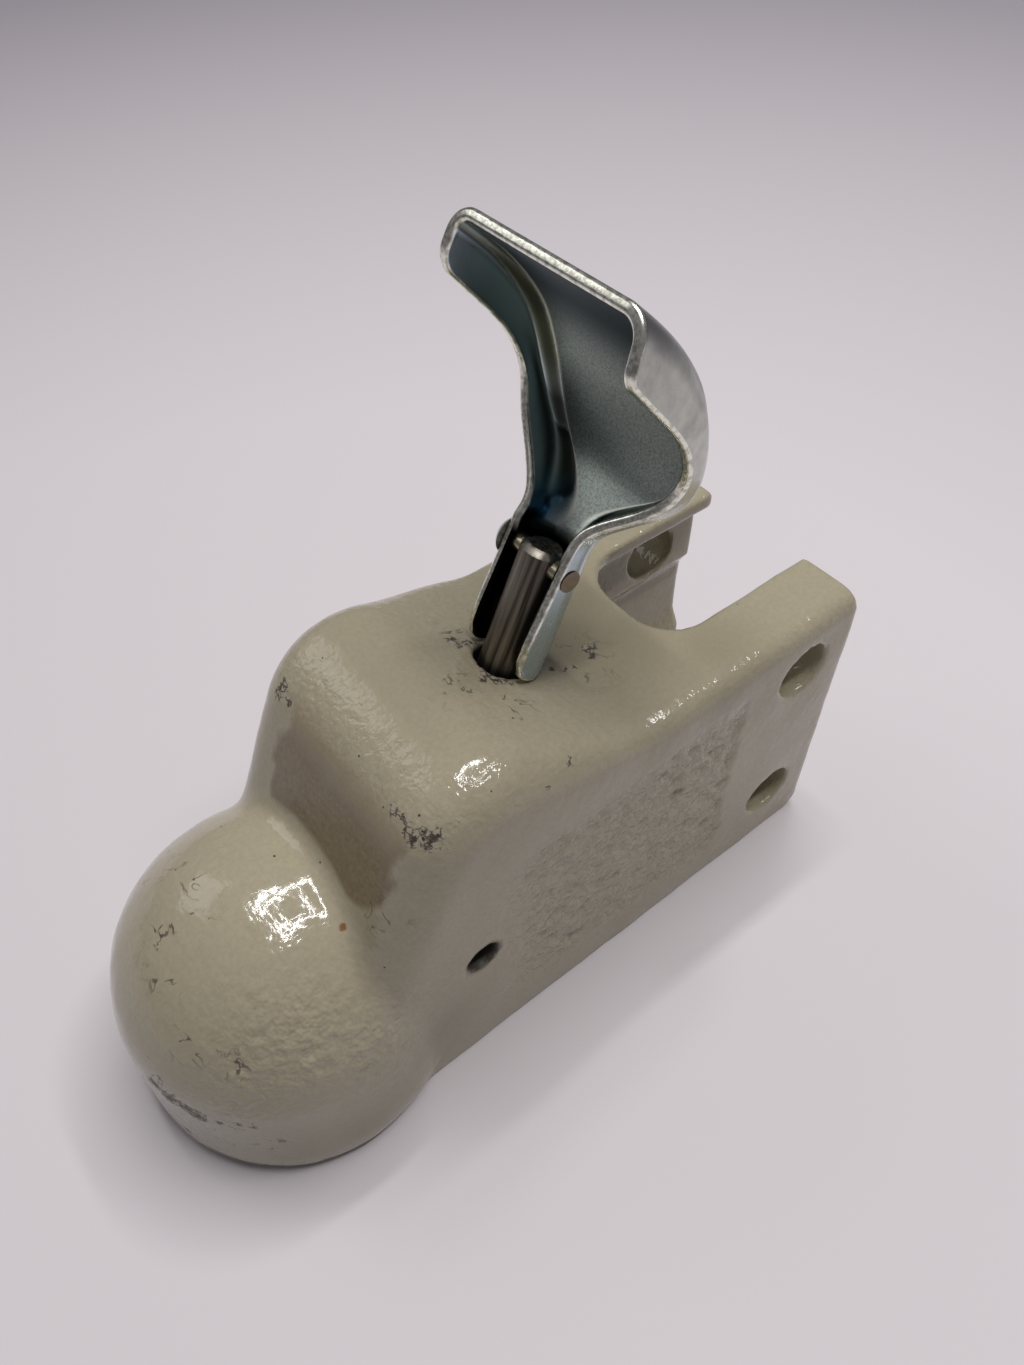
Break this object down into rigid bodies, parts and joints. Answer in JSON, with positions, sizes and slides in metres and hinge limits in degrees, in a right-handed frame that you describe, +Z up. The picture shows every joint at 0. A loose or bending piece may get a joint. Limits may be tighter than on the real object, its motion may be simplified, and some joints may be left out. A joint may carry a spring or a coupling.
{
  "type": "trailer coupling head",
  "caption": "Cast trailer coupling head: domed ball socket with a swinging clamp, a leaning sprung lock pin with a folding scoop handle, and bolt arms for a drawbar.",
  "frame": {"origin": "on the ball's axis, at the level of the socket's rim, which is the plane the housing stands on", "axes": "+X forward to the nose, +Y to the left, +Z up along the ball's axis"},
  "size_m": [0.2129, 0.0872, 0.2038],
  "materials": {
    "painted_casting": "gloss beige-grey enamel over a sand-cast surface",
    "zinc_sheet": "bright zinc plate on pressed steel sheet",
    "bare_steel": "bare drawn steel, darkened by grease",
    "bare_casting": "bare cast iron"
  },
  "bodies": {
    "housing": {"housing": "painted_casting", "clamp_pivot_pin": "bare_steel"},
    "lock_pin": {"lock_pin": "bare_steel", "handle_rivet": "bare_steel", "spring_washer": "zinc_sheet", "spring_retaining_pin": "bare_steel", "lock_spring": "bare_steel"},
    "handle": {"handle": "zinc_sheet"},
    "ball_clamp": {"ball_clamp": "bare_casting"}
  },
  "joints": [
    {"name": "lock_pin_slide", "type": "slide", "parent": "housing", "child": "lock_pin", "axis": [-0.4131, 0, 0.9107], "range_m": [-0.009, 0], "deforming": ["lock_spring"]},
    {"name": "handle_fold", "type": "hinge", "parent": "lock_pin", "child": "handle", "pos_m": [-0.08825, 0, 0.13028], "axis": [0, 1, 0], "range_deg": [0, 102]},
    {"name": "clamp_swing", "type": "hinge", "parent": "housing", "child": "ball_clamp", "pos_m": [-0.03946, 0, 0.0485], "axis": [0, 1, 0], "range_deg": [-12, 0]}
  ],
  "couplings": [
    {"joint": "lock_pin_slide", "follows": "handle_fold", "m_per_rad": -0.0050555},
    {"joint": "clamp_swing", "follows": "handle_fold", "ratio": -0.11765}
  ]
}
